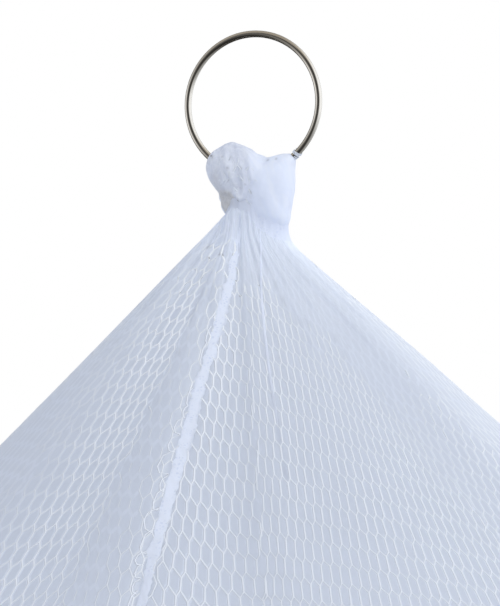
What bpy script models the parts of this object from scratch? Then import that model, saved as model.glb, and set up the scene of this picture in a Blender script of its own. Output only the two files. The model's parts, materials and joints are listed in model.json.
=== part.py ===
"""Mosquito net canopy: a wire ring, a knotted net roof, a spreader hoop and a net skirt.

Metres, +Z up. The origin is where a ceiling hook carries the ring: the inside of
the ring's top. An azimuth is measured from the front, -Y, and grows towards +X.
"""
import math

import bmesh
import bpy
from mathutils import Vector

# Ring
RING_OUTER_DIAMETER = 0.030
RING_WIRE = 0.0014
RING_TURN = math.radians(-20)          # about the vertical: its +X side comes forward
RING_RADIUS = (RING_OUTER_DIAMETER - RING_WIRE) / 2
RING_CENTRE = Vector((0, 0, -(RING_RADIUS - RING_WIRE / 2)))
RING_SEGMENTS = 40
WIRE_SEGMENTS = 8

# Cloth
NET_THICKNESS = 0.0012
SEAT_GAP = 0.0003                      # between pieces that touch
EDGE_GAP = 0.002                       # between the skirt and the hoop it hangs past
COLUMNS = 84                           # points round the hoop, the roof and the skirt

# Hoop
HOOP_RADIUS = 0.300                    # to the middle of the rod
HOOP_ROD = 0.005
HOOP_CENTRE = Vector((0.0162, 0, -0.2905))
HOOP_TILT = math.radians(1.5)            # its +X side is the higher one
HOOP_SIDES = 6

# Roof: straight lines from a point inside the knot to the hoop
ROOF_APEX = Vector((-0.0026, 0, RING_CENTRE.z - 0.0213))
ROOF_TOP_LEVEL = -0.0410               # where the sheet starts, under the neck
ROOF_SAG = 0.0083
ROOF_LAST_LEAN = math.radians(30)      # the lower edge, as an angle up round the rod
EDGE_STEP = math.radians(3)            # from there to the skirt's top edge
ROOF_ROWS = (0.075, 0.13, 0.20, 0.32, 0.48, 0.70)   # shares of the way from apex to hoop

# Skirt
HEM_LEVEL = -2.35
SKIRT_FLARE = 0.140                    # how much wider the hem is than the hoop, on the radius
FOLD_DEPTH = 0.060                     # half the depth of a fold at the hem
FOLD_START = 0.22                      # length over which the folds open, below the hoop
SKIRT_ROWS = (0.014, 0.045, 0.10, 0.18, 0.30, 0.45, 0.63, 0.82, 1.0)   # shares of the fall

# Soft creases that fan out of the knot
PLEATS = [
    # azimuth (deg), half width (deg), rise (m)
    (-74, 9, -0.0010),
    (-52, 8, 0.0018),
    (-34, 8, -0.0016),
    (-15, 4, 0.0022),                  # the seam
    (0, 6, -0.0012),
    (9, 5, 0.0012),
    (30, 9, -0.0014),
    (52, 10, 0.0016),
    (76, 9, -0.0010),
    (104, 10, 0.0018),
    (128, 9, -0.0016),
    (150, 10, 0.0020),
    (176, 10, -0.0018),
    (-160, 9, 0.0020),
    (-136, 9, -0.0016),
    (-112, 10, 0.0018),
    (-94, 7, 0.0008),
]

# Folds of the skirt, one after another round the hoop from the front
FOLDS = [
    # turn at the hem (deg), depth (share), lift of the hem (m)
    (2.0, 1.00, 0.004),
    (-3.0, 0.82, -0.006),
    (1.5, 1.12, 0.003),
    (4.0, 0.90, 0.008),
    (-2.0, 1.05, -0.004),
    (-4.5, 0.78, 0.002),
    (1.0, 1.15, -0.007),
    (3.5, 0.95, 0.005),
    (-1.0, 0.85, 0.000),
    (-3.5, 1.10, -0.005),
    (2.5, 0.92, 0.007),
    (4.5, 1.08, -0.002),
    (-2.5, 0.80, 0.004),
    (-1.5, 1.02, -0.006),
]

# Lobes of the knot, from the ring's centre, in millimetres
LOBES = [
    # name, centre, radii
    ("upper_left", (-3.8, 0.6, -14.1), (5.7, 5.2, 6.2)),
    ("upper_right", (5.6, -1.5, -14.0), (3.4, 4.0, 3.9)),
    ("hanging_wad", (3.4, -1.2, -18.8), (5.4, 5.6, 7.6)),
    ("lower_left", (-2.0, 0.0, -20.5), (4.5, 4.6, 5.8)),
]
LOBE_SEGMENTS = 14
LOBE_RINGS = 8
MILLIMETRE = 0.001
NECK_TOP_LEVEL = -0.0362
NECK_TOP_RADIUS = 0.0034
NECK_SEGMENTS = 18


def material(name, colour, roughness, metallic=0.0):
    """A Principled BSDF material of one colour."""
    made = bpy.data.materials.new(name)
    made.use_nodes = True
    shader = made.node_tree.nodes["Principled BSDF"]
    shader.inputs["Base Color"].default_value = (*colour, 1)
    shader.inputs["Roughness"].default_value = roughness
    shader.inputs["Metallic"].default_value = metallic
    return made


def finish(piece, name, surface):
    """Name a piece, give it its material and shade it smooth."""
    piece.name = name
    piece.data.name = name
    piece.data.materials.clear()
    piece.data.materials.append(surface)
    piece.data.shade_smooth()
    return piece


def sheet(name, rows, surface):
    """A closed sheet of net through rows of points, each row going once round."""
    mesh = bmesh.new()
    grid = [[mesh.verts.new(point) for point in row] for row in rows]
    for upper, lower in zip(grid, grid[1:]):
        for column in range(COLUMNS):
            after = (column + 1) % COLUMNS
            mesh.faces.new((upper[column], lower[column], lower[after], upper[after]))
    data = bpy.data.meshes.new(name)
    mesh.to_mesh(data)
    mesh.free()
    piece = bpy.data.objects.new(name, data)
    bpy.context.collection.objects.link(piece)
    thickness = piece.modifiers.new("thickness", "SOLIDIFY")
    thickness.thickness = NET_THICKNESS
    thickness.offset = 0
    return finish(piece, name, surface)


def azimuths():
    """The directions of the columns, all the way round."""
    return [2 * math.pi * column / COLUMNS for column in range(COLUMNS)]


def hoop_frame(azimuth):
    """A point on the middle of the rod, and the hoop's outward and upward directions."""
    outward = Vector((math.sin(azimuth) * math.cos(HOOP_TILT), -math.cos(azimuth),
                      math.sin(azimuth) * math.sin(HOOP_TILT)))
    upward = Vector((-math.sin(HOOP_TILT), 0, math.cos(HOOP_TILT)))
    return HOOP_CENTRE + HOOP_RADIUS * outward, outward, upward


def round_rod(azimuth, lean, gap):
    """The middle of the net where it passes the rod, at an angle up from the hoop's plane."""
    rod, outward, upward = hoop_frame(azimuth)
    reach = HOOP_ROD / 2 + gap + NET_THICKNESS / 2
    return rod + reach * (math.cos(lean) * outward + math.sin(lean) * upward)


def pleat_rise(azimuth, share):
    """How far the creases lift the roof there; they fade at the knot and at the hoop."""
    fade = math.sin(math.pi * math.sqrt(share))
    total = 0.0
    for centre, half_width, rise in PLEATS:
        away = (math.degrees(azimuth) - centre + 180) % 360 - 180
        total += rise * math.exp(-(away / half_width) ** 2)
    return total * fade


def roof_point(azimuth, share):
    """The middle of the roof's net, on the line from the apex (0) to the hoop (1)."""
    seat_lean = math.atan2(HOOP_RADIUS, ROOF_APEX.z - HOOP_CENTRE.z)
    seat = round_rod(azimuth, seat_lean, SEAT_GAP)
    line = seat - ROOF_APEX
    point = ROOF_APEX + share * line
    point.z -= 4 * ROOF_SAG * share * (1 - share)
    outward = Vector((line.x, line.y, 0)).normalized()
    return point + pleat_rise(azimuth, share) * (outward + Vector((0, 0, 1))).normalized()


def roof_start(azimuth):
    """The share at which the roof's line passes the level of its top edge."""
    low, high = 0.0, ROOF_ROWS[0]
    for _ in range(30):
        middle = (low + high) / 2
        if roof_point(azimuth, middle).z > ROOF_TOP_LEVEL:
            low = middle
        else:
            high = middle
    return high


def roof_rows():
    """Rows of the roof, from the neck to just over the rod."""
    rows = [[roof_point(azimuth, roof_start(azimuth)) for azimuth in azimuths()]]
    rows += [[roof_point(azimuth, share) for azimuth in azimuths()] for share in ROOF_ROWS]
    rows.append([roof_point(azimuth, 1.0) for azimuth in azimuths()])
    rows.append([round_rod(azimuth, ROOF_LAST_LEAN, SEAT_GAP) for azimuth in azimuths()])
    return rows


def fold_at(azimuth):
    """The fold's phase, and its turn, depth and lift, blended between neighbouring folds."""
    along = azimuth / (2 * math.pi) * len(FOLDS)
    index = int(along)
    blend = along - index
    eased = (1 - math.cos(math.pi * blend)) / 2
    this, after = FOLDS[index % len(FOLDS)], FOLDS[(index + 1) % len(FOLDS)]
    turn, depth, lift = (a + (b - a) * eased for a, b in zip(this, after))
    return 2 * math.pi * blend, math.radians(turn), depth, lift


def skirt_point(azimuth, fall):
    """The middle of the skirt's net, from beside the rod (0) to the hem (1)."""
    phase, turn, depth, lift = fold_at(azimuth)
    top = round_rod(azimuth, 0, EDGE_GAP)
    below = fall * (top.z - HEM_LEVEL)
    opened = 1 - math.exp(-below / FOLD_START)
    across = Vector((top.x - HOOP_CENTRE.x, top.y, 0))
    radius = across.length + SKIRT_FLARE * fall + FOLD_DEPTH * depth * opened * math.cos(phase)
    heading = math.atan2(across.x, -across.y) + turn * fall
    level = top.z - below + lift * fall
    return Vector((HOOP_CENTRE.x + radius * math.sin(heading), -radius * math.cos(heading), level))


def skirt_rows():
    """Rows of the skirt: tucked up to the roof's edge, past the rod, and down to the hem."""
    top_lean = ROOF_LAST_LEAN - EDGE_STEP
    rows = [[round_rod(azimuth, top_lean, EDGE_GAP / 2) for azimuth in azimuths()]]
    rows.append([skirt_point(azimuth, 0) for azimuth in azimuths()])
    rows += [[skirt_point(azimuth, fall) for azimuth in azimuths()] for fall in SKIRT_ROWS]
    return rows


def ring(surface):
    """The wire ring."""
    bpy.ops.mesh.primitive_torus_add(
        major_segments=RING_SEGMENTS, minor_segments=WIRE_SEGMENTS,
        major_radius=RING_RADIUS, minor_radius=RING_WIRE / 2,
        location=RING_CENTRE, rotation=(math.pi / 2, 0, RING_TURN))
    return finish(bpy.context.object, "hanging_ring", surface)


def hoop(surface):
    """The rod hoop."""
    bpy.ops.mesh.primitive_torus_add(
        major_segments=COLUMNS, minor_segments=HOOP_SIDES,
        major_radius=HOOP_RADIUS, minor_radius=HOOP_ROD / 2,
        location=HOOP_CENTRE, rotation=(0, -HOOP_TILT, 0))
    return finish(bpy.context.object, "spreader_hoop", surface)


def boolean(piece, operation, other):
    """Join another shape to a piece, or cut it away, and leave it as a hidden guide."""
    cut = piece.modifiers.new(operation.lower(), "BOOLEAN")
    cut.operation = operation
    cut.solver = "EXACT"
    cut.object = other
    other.hide_render = True
    other.display_type = "WIRE"


def lobe(name, centre, radii):
    """One rounded lump of gathered net."""
    place = RING_CENTRE + MILLIMETRE * Vector(centre)
    bpy.ops.mesh.primitive_uv_sphere_add(segments=LOBE_SEGMENTS, ring_count=LOBE_RINGS,
                                         radius=1, location=place)
    piece = bpy.context.object
    piece.name = name
    piece.scale = MILLIMETRE * Vector(radii)
    bpy.ops.object.transform_apply(location=False, rotation=False, scale=True)
    return piece


def knot(surface):
    """The knotted top of the net: four lobes and the neck, with a way through for the ring."""
    lobes = [lobe(*row) for row in LOBES]
    bottom = ROOF_TOP_LEVEL + NET_THICKNESS / 2 + SEAT_GAP
    bottom_radius = (roof_point(0, roof_start(0)) - ROOF_APEX).xy.length + NET_THICKNESS / 2
    bpy.ops.mesh.primitive_cone_add(
        vertices=NECK_SEGMENTS, radius1=bottom_radius, radius2=NECK_TOP_RADIUS,
        depth=NECK_TOP_LEVEL - bottom,
        location=(ROOF_APEX.x, ROOF_APEX.y, (NECK_TOP_LEVEL + bottom) / 2))
    neck = bpy.context.object
    neck.name = "neck"
    bpy.ops.mesh.primitive_torus_add(
        major_segments=RING_SEGMENTS, minor_segments=WIRE_SEGMENTS,
        major_radius=RING_RADIUS, minor_radius=RING_WIRE / 2 + SEAT_GAP,
        location=RING_CENTRE, rotation=(math.pi / 2, 0, RING_TURN))
    channel = bpy.context.object
    channel.name = "ring_channel"
    body = lobes[0]
    for other in (*lobes[1:], neck):
        boolean(body, "UNION", other)
    boolean(body, "DIFFERENCE", channel)
    return finish(body, "net_knot", surface)


def build():
    for old in list(bpy.data.objects):
        bpy.data.objects.remove(old, do_unlink=True)
    net = material("net", (0.80, 0.84, 0.92), 0.85)
    steel = material("plated_steel", (0.62, 0.60, 0.56), 0.15, 1.0)
    rod = material("hoop_rod", (0.86, 0.87, 0.88), 0.45)
    ring(steel)
    knot(net)
    sheet("net_roof", roof_rows(), net)
    hoop(rod)
    sheet("net_skirt", skirt_rows(), net)


build()
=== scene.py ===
import json
import math
import random

import bpy
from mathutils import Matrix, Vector, noise
from mathutils.bvhtree import BVHTree

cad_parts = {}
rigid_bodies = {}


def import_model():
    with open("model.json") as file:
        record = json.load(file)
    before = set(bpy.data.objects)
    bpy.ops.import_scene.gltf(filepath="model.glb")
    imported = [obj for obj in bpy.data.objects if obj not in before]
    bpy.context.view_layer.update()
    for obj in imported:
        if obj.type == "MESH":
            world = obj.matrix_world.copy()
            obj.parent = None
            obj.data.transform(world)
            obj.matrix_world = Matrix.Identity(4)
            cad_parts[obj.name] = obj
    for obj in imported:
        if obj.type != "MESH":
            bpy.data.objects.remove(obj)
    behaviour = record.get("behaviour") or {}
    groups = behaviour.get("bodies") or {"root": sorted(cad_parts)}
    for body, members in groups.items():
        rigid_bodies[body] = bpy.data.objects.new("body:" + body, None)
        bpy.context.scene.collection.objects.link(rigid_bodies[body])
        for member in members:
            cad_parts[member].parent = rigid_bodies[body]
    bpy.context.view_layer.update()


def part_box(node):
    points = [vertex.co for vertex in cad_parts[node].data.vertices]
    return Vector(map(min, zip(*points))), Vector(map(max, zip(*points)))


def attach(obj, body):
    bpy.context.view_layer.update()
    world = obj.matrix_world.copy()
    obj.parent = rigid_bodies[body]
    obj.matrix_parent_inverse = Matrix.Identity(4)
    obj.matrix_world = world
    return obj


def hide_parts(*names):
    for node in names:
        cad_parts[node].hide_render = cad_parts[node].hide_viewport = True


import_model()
print("frame loaded")

up = Vector((0, 0, 1))
tau = 2 * math.pi


def nodeBox(name):
    low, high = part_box(name)
    return low, high, (low + high) / 2


ringLow, ringHigh, ringCentre = nodeBox("hanging_ring")
hoopLow, hoopHigh, hoopCentre = nodeBox("spreader_hoop")
skirtLow = nodeBox("net_skirt")[0]

# the camera stands level with the upper roof and looks along +Y
viewpoint = {
    "distance": 0.35,        # from the ring
    "height": 0.1248,        # what the frame takes in there
    "right": -0.0005,
    "belowRing": 0.0411,     # from the ring's centre down to the middle of the frame
    "sensor": 36.0,          # mm, along the frame's longer side
}


def makeCamera():
    data = bpy.data.cameras.new("camera")
    data.sensor_width = viewpoint["sensor"]
    data.lens = viewpoint["sensor"] * viewpoint["distance"] / viewpoint["height"]
    data.clip_start = 0.01
    data.clip_end = 60
    camera = bpy.data.objects.new("camera", data)
    bpy.context.collection.objects.link(camera)
    camera.location = (viewpoint["right"], -viewpoint["distance"], ringCentre.z - viewpoint["belowRing"])
    camera.rotation_euler = (math.pi / 2, 0, 0)
    bpy.context.scene.camera = camera


makeCamera()
print("camera set")


# small helpers for node trees and meshes
def newMaterial(name):
    made = bpy.data.materials.new(name)
    made.use_nodes = True
    return made, made.node_tree, made.node_tree.nodes["Principled BSDF"]


def feed(tree, socket, value):
    if hasattr(value, "is_output"):
        tree.links.new(value, socket)
    elif socket.type == "RGBA":
        socket.default_value = (*value, 1)
    else:
        socket.default_value = value


def addNode(tree, kind, inputs=(), **settings):
    # inputs are fed by name or number, each with a value or another node's output
    node = tree.nodes.new(kind)
    for key, value in settings.items():
        setattr(node, key, value)
    for key, value in dict(inputs).items():
        feed(tree, node.inputs[key], value)
    return node


def sums(tree, operation, *values, clamp=False):
    return addNode(tree, "ShaderNodeMath", enumerate(values), operation=operation, use_clamp=clamp).outputs[0]


def ramp(tree, value, low, high, toLow=0.0, toHigh=1.0):
    limits = enumerate((value, low, high, toLow, toHigh))
    return addNode(tree, "ShaderNodeMapRange", limits, interpolation_type="SMOOTHSTEP").outputs[0]


def blendColour(tree, share, first, second):
    return addNode(tree, "ShaderNodeMix", {0: share, 6: first, 7: second}, data_type="RGBA").outputs[2]


def blendShader(tree, share, first, second):
    return addNode(tree, "ShaderNodeMixShader", {0: share, 1: first, 2: second}).outputs[0]


def ownAttribute(tree, name):
    return addNode(tree, "ShaderNodeAttribute", attribute_name=name).outputs["Fac"]


def ownPlace(tree):
    return addNode(tree, "ShaderNodeTexCoord").outputs["Object"]


def cloudy(tree, place, scale, detail=2):
    return addNode(tree, "ShaderNodeTexNoise", {"Vector": place, "Scale": scale, "Detail": detail}).outputs


def cellular(tree, place, scale):
    # how far a place is from the nearest edge between cells
    return addNode(tree, "ShaderNodeTexVoronoi", {"Vector": place, "Scale": scale},
                   feature="DISTANCE_TO_EDGE").outputs["Distance"]


def dotProduct(tree, place, way):
    return addNode(tree, "ShaderNodeVectorMath", {0: place, 1: way}, operation="DOT_PRODUCT").outputs["Value"]


def addBump(tree, shader, height, strength, distance, invert=False):
    bump = addNode(tree, "ShaderNodeBump", {"Height": height, "Strength": strength, "Distance": distance},
                   invert=invert)
    tree.links.new(bump.outputs[0], shader.inputs["Normal"])


def meshObject(name, points, faces=(), edges=(), material=None):
    data = bpy.data.meshes.new(name)
    data.from_pydata(points, edges, faces)
    data.validate()
    if faces:
        data.shade_smooth()
    made = bpy.data.objects.new(name, data)
    bpy.context.collection.objects.link(made)
    if material:
        data.materials.append(material)
    return made


def pointValues(made, name, values):
    attribute = made.data.attributes.new(name, "FLOAT", "POINT")
    attribute.data.foreach_set("value", values)


def halfTurn(degrees):
    # the same direction, from -180 to 180
    return (degrees + 180) % 360 - 180


def smoothed(values, times):
    # each evened out with its neighbours, all the way round
    count = len(values)
    for _ in range(times):
        values = [(values[i - 1] + 2 * values[i] + values[(i + 1) % count]) / 4 for i in range(count)]
    return values


def gridFaces(rows, columns, closed=True):
    # four-sided faces between rows of points; a closed grid goes all the way round
    faces = []
    for low in range(0, (rows - 1) * columns, columns):
        for column in range(columns if closed else columns - 1):
            after = (column + 1) % columns
            faces.append((low + column, low + columns + column, low + columns + after, low + after))
    return faces


def mix(first, second, share):
    return first + (second - first) * share


def ease(value):
    value = min(1.0, max(0.0, value))
    return value * value * (3 - 2 * value)


def bell(value, middle, width):
    return math.exp(-((value - middle) / width) ** 2)


studio = {
    "fill": 1.09,            # strength of the pale surroundings
    "keyPower": 29.0,        # W, large soft lamp on the right
    "keySize": 2.0,
    "keyPlace": (2.4, -1.0, 1.0),
    "keyAim": (0.0, 0.0, -0.5),
    # bright metal mirrors a dark brown room with a white wall on the right and a lit ceiling
    "room": [(0.0, (1.0, 1.0, 0.99)), (0.15, (0.95, 0.95, 0.93)), (0.25, (0.62, 0.61, 0.58)),
             (0.325, (0.26, 0.25, 0.23)), (0.40, (0.085, 0.080, 0.072)), (0.475, (0.040, 0.037, 0.034)),
             (0.725, (0.040, 0.038, 0.035)), (0.80, (0.085, 0.080, 0.073)), (0.86, (0.17, 0.16, 0.145)),
             (0.925, (0.32, 0.305, 0.28)), (0.965, (0.55, 0.53, 0.50)), (1.0, (0.9, 0.88, 0.84))],
    "roomSide": (-1.0, 0.0, 0.0),
    "roomTop": (-0.1, 0.0, 1.0),
    "seen": (1.0, 1.0, 1.0),
    "floorColour": (0.86, 0.87, 0.89),
    "topLight": (0.95, 0.84, 0.68),
    "overhead": (0.42, 0.88, 0.0, 0.34),     # how far up that light starts and is full, and its share
    "ground": (0.02, 0.019, 0.017),
    "below": (-0.05, -0.65, 0.0, 0.65),      # the same for the dark ground
    "around": (0.97, 0.985, 1.0),
    "lampColour": (1.0, 0.99, 0.97),
    "floorSize": 40.0,
    "floorDrop": 0.012,      # from the hem's lowest point to the floor
}


def makeWorld():
    world = bpy.data.worlds.new("studio")
    bpy.context.scene.world = world
    world.use_nodes = True
    tree = world.node_tree
    tree.nodes.clear()
    direction = addNode(tree, "ShaderNodeTexCoord").outputs["Generated"]
    toRoom, toTop = (dotProduct(tree, direction, studio[key]) for key in ("roomSide", "roomTop"))
    room = addNode(tree, "ShaderNodeValToRGB", {0: sums(tree, "MULTIPLY_ADD", toRoom, 0.5, 0.5)})
    stops = room.color_ramp.elements
    stops[0].color = (*studio["room"][0][1], 1)
    stops[1].color = (*studio["room"][-1][1], 1)
    for position, colour in studio["room"][1:-1]:
        stops.new(position).color = (*colour, 1)
    walls = blendColour(tree, ramp(tree, toTop, *studio["below"]), room.outputs["Color"], studio["ground"])
    mirrored = blendColour(tree, ramp(tree, toTop, *studio["overhead"]), walls, studio["topLight"])
    seen, around, mirrored = (
        addNode(tree, "ShaderNodeBackground", {"Color": colour, "Strength": strength}).outputs[0]
        for colour, strength in ((studio["seen"], 1.0), (studio["around"], studio["fill"]), (mirrored, 1.0)))
    rays = addNode(tree, "ShaderNodeLightPath").outputs
    lit = blendShader(tree, rays["Is Glossy Ray"], around, mirrored)
    addNode(tree, "ShaderNodeOutputWorld", {"Surface": blendShader(tree, rays["Is Camera Ray"], lit, seen)})


def makeLamp():
    data = bpy.data.lights.new("key", "AREA")
    data.energy = studio["keyPower"]
    data.size = studio["keySize"]
    data.color = studio["lampColour"]
    lamp = bpy.data.objects.new("key", data)
    bpy.context.collection.objects.link(lamp)
    lamp.location = studio["keyPlace"]
    aim = Vector(studio["keyAim"]) - Vector(studio["keyPlace"])
    lamp.rotation_euler = aim.to_track_quat("-Z", "Y").to_euler()
    lamp.visible_camera = False
    lamp.visible_glossy = False


def makeFloor():
    half = studio["floorSize"] / 2
    level = skirtLow.z - studio["floorDrop"]
    corners = [(-half, -half, level), (half, -half, level), (half, half, level), (-half, half, level)]
    surface, tree, shader = newMaterial("floorPaint")
    feed(tree, shader.inputs["Base Color"], studio["floorColour"])
    shader.inputs["Roughness"].default_value = 0.7
    floor = meshObject("floor", corners, [(0, 1, 2, 3)], material=surface)


bpy.context.scene.view_settings.view_transform = "Standard"
makeWorld()
makeLamp()
makeFloor()
print("light set")

ring = {
    "wire": ringHigh.z,              # the origin is the inside of the ring's top
    "turn": math.radians(-20),
    "around": 180,
    "across": 24,
    "plate": ((0.94, 0.925, 0.90), (0.85, 0.835, 0.81)),
    "gloss": (0.05, 0.14),           # roughness, least and most
}
ring["radius"] = (ringHigh.z - ringLow.z - ring["wire"]) / 2


def plating():
    made, tree, shader = newMaterial("brightPlate")
    shader.inputs["Metallic"].default_value = 1.0
    wear = cloudy(tree, ownPlace(tree), 700, 3)["Fac"]
    feed(tree, shader.inputs["Base Color"], blendColour(tree, wear, *ring["plate"]))
    feed(tree, shader.inputs["Roughness"], ramp(tree, wear, 0.3, 0.7, *ring["gloss"]))
    addBump(tree, shader, wear, 0.06, 0.00002)
    return made


def makeTorus(name, centre, radius, thickness, turns, around, across, material):
    bpy.ops.mesh.primitive_torus_add(major_segments=around, minor_segments=across, major_radius=radius,
                                     minor_radius=thickness / 2, location=centre, rotation=turns)
    made = bpy.context.object
    made.name = name
    bpy.ops.object.transform_apply(location=True, rotation=True, scale=True)
    made.data.shade_smooth()
    made.data.materials.append(material)
    return made


ringWire = makeTorus("ringWire", ringCentre, ring["radius"], ring["wire"],
                     (math.pi / 2, 0, ring["turn"]), ring["around"], ring["across"], plating())
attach(ringWire, "root")
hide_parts("hanging_ring")
print("ring made")

hoop = {
    "rod": 0.005,
    "around": 360,
    "across": 20,
    "coat": ((0.80, 0.82, 0.84), (0.88, 0.89, 0.90)),
}
hoop["radius"] = (hoopHigh.y - hoopLow.y - hoop["rod"]) / 2
hoop["tilt"] = math.asin((hoopHigh.z - hoopLow.z - hoop["rod"]) / (2 * hoop["radius"]))


def rodCoat():
    made, tree, shader = newMaterial("whiteCoat")
    shader.inputs["Roughness"].default_value = 0.38
    grain = cloudy(tree, ownPlace(tree), 260, 4)["Fac"]
    feed(tree, shader.inputs["Base Color"], blendColour(tree, grain, *hoop["coat"]))
    addBump(tree, shader, grain, 0.15, 0.0001)
    return made


hoopRod = makeTorus("hoopRod", hoopCentre, hoop["radius"], hoop["rod"],
                    (0, -hoop["tilt"], 0), hoop["around"], hoop["across"], rodCoat())
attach(hoopRod, "root")
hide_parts("spreader_hoop")
print("hoop made")

# the roof's cloth is a cone that sags a little between knot and hoop
roof = {
    "apex": Vector((-0.0026, 0, ringCentre.z - 0.0213)),
    "sag": 0.0083,
    "lift": 0.0003,          # of the cloth over the middle of its solid
    "offRod": 0.0009,        # from the rod to that middle
    "columns": 720,
    "rows": 120,
    "start": 0.003,          # share of the way from the apex to the hoop
    "coarse": 0.0010,        # folds a hand's breadth apart at the hoop
    "fine": 0.00035,         # small gathers, strongest at the knot
    "finer": 0.00022,
    "gatherFade": 0.045,     # m down the slant
    "steep": 0.728,          # radius gained for each unit of slant
    "long": 0.4,             # about what the slant is
    "bunched": 1.7,          # how much closer its rows are near the knot
    "dense": 0.10,           # how see-through it is there, and where it starts to thin, over how much
    "thinFrom": 0.12,
    "thinOver": 0.06,
    "hole": 0.0019,          # of the net below the knitted part
    "row": 0.0042,
    "overRod": (42, 38, 34, 30),                         # degrees up from the hoop's plane
    "overRodNet": (0.1, 0.5, 1.0, 0.57, 0.0, 0.8),       # tone, clear, single, side, skew and link there
}
roof["reach"] = hoop["rod"] / 2 + roof["offRod"] + roof["lift"]      # from the rod's middle to the cloth
seatLean = math.atan2(hoop["radius"], roof["apex"].z - hoopCentre.z)

# how the net lies on the unrolled cone: which hole across and which row down a place is in, as
# quadratics in x, y, x*x, x*y, y*y, measured in spans from the apex; skew moves the lower end of
# each straight side, in holes
knitSpan = 0.06


def plainChart(aim, hole, row, lean=0.0, tilt=0.0):
    # holes of one size: tilt is how far a row drops for each hole, lean how its straight sides lean
    sideways = row * math.tan(math.radians(lean))
    whole = hole * row - hole * tilt * sideways
    return dict(aim=aim, across=(row * knitSpan / whole, -sideways * knitSpan / whole, 0, 0, 0),
                down=(-hole * tilt * knitSpan / whole, hole * knitSpan / whole, 0, 0, 0))


leftChart = dict(aim=-38, across=(35.58, 4.23, 17.46, -7.66, -1.35),
                 down=(-3.76, 19.58, 6.19, 3.97, -1.52))
middleChart = dict(aim=-2, across=(50.80, -3.39, 5.33, -10.21, -0.10),
                   down=(-8.13, 16.53, 11.04, 1.74, -0.60))
rightChart = dict(aim=18, across=(64.27, 6.06, -4.53, -15.83, -0.89),
                  down=(-13.79, 13.46, 2.14, 5.53, 0.29))
turnedChart = dict(aim=44, across=(30.68, 14.51, -6.73, -2.08, -1.96),
                   down=(-7.88, 11.23, 7.61, 0.35, 1.32))

# the holes' shape, by degrees round: share of a row that is the straight side, how far that side's
# lower end is moved over (in holes), and how plain the slanting yarns are
cellShapes = [
    (-95, 0.57, 0.0, 0.8), (-49.1, 0.57, 0.0, 0.8), (-49, 0.58, 0.08, 0.85), (-27.1, 0.56, 0.02, 0.8),
    (-27, 0.55, 0.0, 0.8), (-14.6, 0.57, 0.0, 0.8), (-14.5, 0.60, -0.14, 0.9), (-8, 0.63, -0.11, 0.9),
    (-5, 0.66, -0.10, 0.75), (-3, 0.68, -0.10, 0.38), (3, 0.70, -0.12, 0.35), (6, 0.71, -0.11, 0.55),
    (17, 0.74, -0.08, 0.5), (25, 0.68, -0.02, 0.6), (37, 0.63, 0.0, 0.65), (57, 0.63, 0.02, 0.6),
    (57.1, 0.57, 0.0, 0.7), (92, 0.57, 0.0, 0.7),
]

# the cloth's faces between its fold lines: where each starts and ends round the cone, how far it
# stands out, and how its net lies
panels = [
    dict(start=-95, end=-68, rise=-0.6, chart=plainChart(-80, 0.0019, 0.0037, -4, 0.1)),
    dict(start=-68, end=-49, rise=0.5, chart=plainChart(-58, 0.0020, 0.0036)),
    dict(start=-49, end=-27, rise=-0.5, chart=leftChart),
    dict(start=-27, end=-14.5, rise=0.5, chart=plainChart(-21, 0.0020, 0.0040, 3, 0.15)),
    dict(start=-14.5, end=0, rise=-0.7, chart=middleChart),
    dict(start=0, end=37, rise=0.5, chart=rightChart),
    dict(start=37, end=57, rise=-0.6, chart=turnedChart),
    dict(start=57, end=92, rise=0.6, chart=plainChart(72, 0.0016, 0.0037, -18, 0.6)),
]
behind = {"from": 92, "to": 265, "count": 8, "rise": 0.7, "hole": 0.00170, "row": 0.0040}

# how clearly the holes show over the layers behind: degrees round, then values down the slant
clearSlants = (0.010, 0.030, 0.050, 0.070, 0.090)
clearRows = [
    (-90, (0.42, 0.38, 0.30, 0.26, 0.26)), (-78, (0.38, 0.38, 0.30, 0.26, 0.21)),
    (-72, (0.38, 0.30, 0.19, 0.15, 0.17)), (-60, (0.22, 0.17, 0.18, 0.13, 0.28)),
    (-54, (0.25, 0.28, 0.29, 0.19, 0.34)), (-48, (0.26, 0.60, 0.37, 0.22, 0.40)),
    (-42, (0.35, 0.88, 0.65, 0.48, 0.69)), (-36, (0.45, 1.22, 0.98, 0.82, 0.98)),
    (-30, (0.49, 1.33, 0.97, 0.63, 0.58)), (-24, (0.23, 0.20, 0.12, 0.14, 0.17)),
    (-18, (0.27, 0.27, 0.26, 0.30, 0.36)), (-12, (0.30, 0.82, 0.86, 0.72, 0.59)),
    (-6, (0.05, 0.68, 0.65, 0.57, 0.60)), (0, (0.01, 0.26, 0.36, 0.34, 0.37)),
    (6, (0.01, 0.25, 0.51, 0.52, 0.42)), (12, (0.02, 0.34, 0.41, 0.46, 0.44)),
    (18, (0.02, 0.23, 0.39, 0.47, 0.56)), (24, (0.02, 0.07, 0.29, 0.52, 0.62)),
    (30, (0.03, 0.08, 0.36, 0.62, 0.70)), (36, (0.04, 0.07, 0.14, 0.41, 0.73)),
    (42, (0.03, 0.04, 0.07, 0.39, 0.75)), (48, (0.03, 0.02, 0.08, 0.55, 0.73)),
    (54, (0.02, 0.03, 0.15, 0.63, 0.60)), (60, (0.02, 0.05, 0.16, 0.55, 0.50)),
    (68, (0.04, 0.26, 0.22, 0.26, 0.34)), (80, (0.04, 0.38, 0.34, 0.34, 0.38)),
]


def addBackPanels():
    width = (behind["to"] - behind["from"]) / behind["count"]
    dice = random.Random(4)
    for index in range(behind["count"]):
        start = behind["from"] + index * width
        panels.append(dict(
            start=start, end=start + width, rise=behind["rise"] * dice.uniform(0.6, 1.1) * (-1) ** index,
            chart=plainChart(start + width / 2, behind["hole"] * dice.uniform(0.9, 1.15), behind["row"],
                             dice.uniform(-10, 10), dice.uniform(-0.3, 0.4))))


addBackPanels()


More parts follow.
